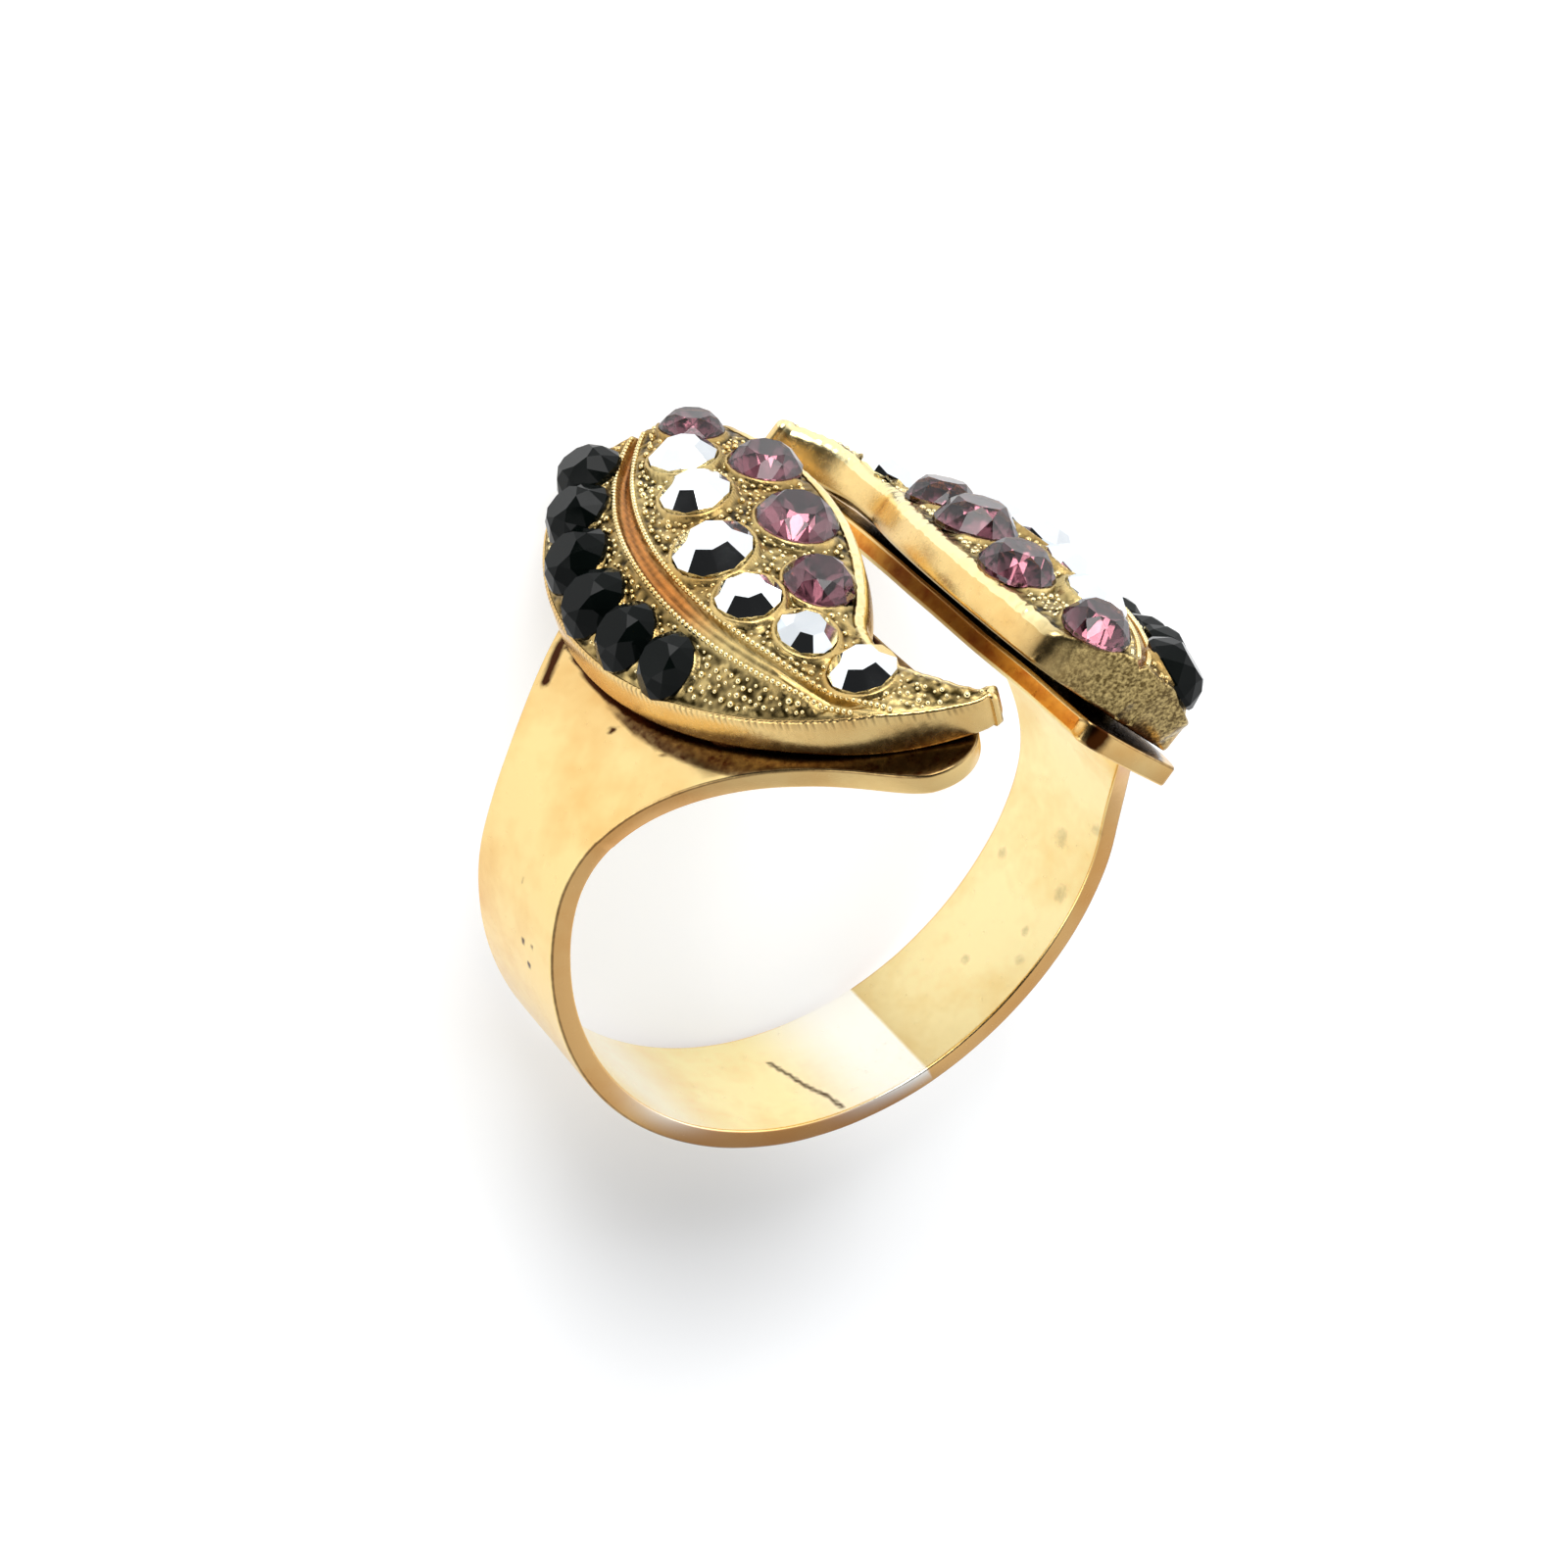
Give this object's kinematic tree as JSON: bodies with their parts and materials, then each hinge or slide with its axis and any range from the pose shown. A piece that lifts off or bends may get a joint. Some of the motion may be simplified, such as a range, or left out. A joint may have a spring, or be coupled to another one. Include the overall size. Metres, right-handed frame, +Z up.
{
  "type": "crystal ring",
  "caption": "Open bypass finger ring in gold-tone metal: a plain band flares into two leaf-shaped plaques set with faceted black, mirror and dusty purple stones.",
  "frame": {"origin": "on the floor under the middle of the ring's box, as it lies on its far side by itself", "axes": "+Z up from the floor; +Y from the set face back to the foot of the band, the longest way; +X across the band to its right. The finger hole's axis leans 21 degrees from +Z, its upper end towards +Y"},
  "size_m": [0.0188, 0.0212, 0.0157],
  "materials": {
    "gold_metal": "satin gold-tone plating, worn, darker in the recesses",
    "black_stone": "polished, opaque, jet-like",
    "mirror_stone": "polished, metallic grey, mirror-like",
    "purple_stone": "polished, transparent dusty purple"
  },
  "bodies": {
    "root": {"shank_and_settings": "gold_metal", "left_black_stone_1": "black_stone", "left_black_stone_2": "black_stone", "left_black_stone_3": "black_stone", "left_black_stone_4": "black_stone", "left_black_stone_5": "black_stone", "left_black_stone_6": "black_stone", "left_mirror_stone_1": "mirror_stone", "left_mirror_stone_2": "mirror_stone", "left_mirror_stone_3": "mirror_stone", "left_mirror_stone_4": "mirror_stone", "left_mirror_stone_5": "mirror_stone", "left_mirror_stone_6": "mirror_stone", "left_purple_stone_1": "purple_stone", "left_purple_stone_2": "purple_stone", "left_purple_stone_3": "purple_stone", "left_purple_stone_4": "purple_stone", "right_black_stone_1": "black_stone", "right_black_stone_2": "black_stone", "right_black_stone_3": "black_stone", "right_black_stone_4": "black_stone", "right_black_stone_5": "black_stone", "right_black_stone_6": "black_stone", "right_mirror_stone_1": "mirror_stone", "right_mirror_stone_2": "mirror_stone", "right_mirror_stone_3": "mirror_stone", "right_mirror_stone_4": "mirror_stone", "right_mirror_stone_5": "mirror_stone", "right_mirror_stone_6": "mirror_stone", "right_purple_stone_1": "purple_stone", "right_purple_stone_2": "purple_stone", "right_purple_stone_3": "purple_stone", "right_purple_stone_4": "purple_stone"}
  },
  "joints": []
}
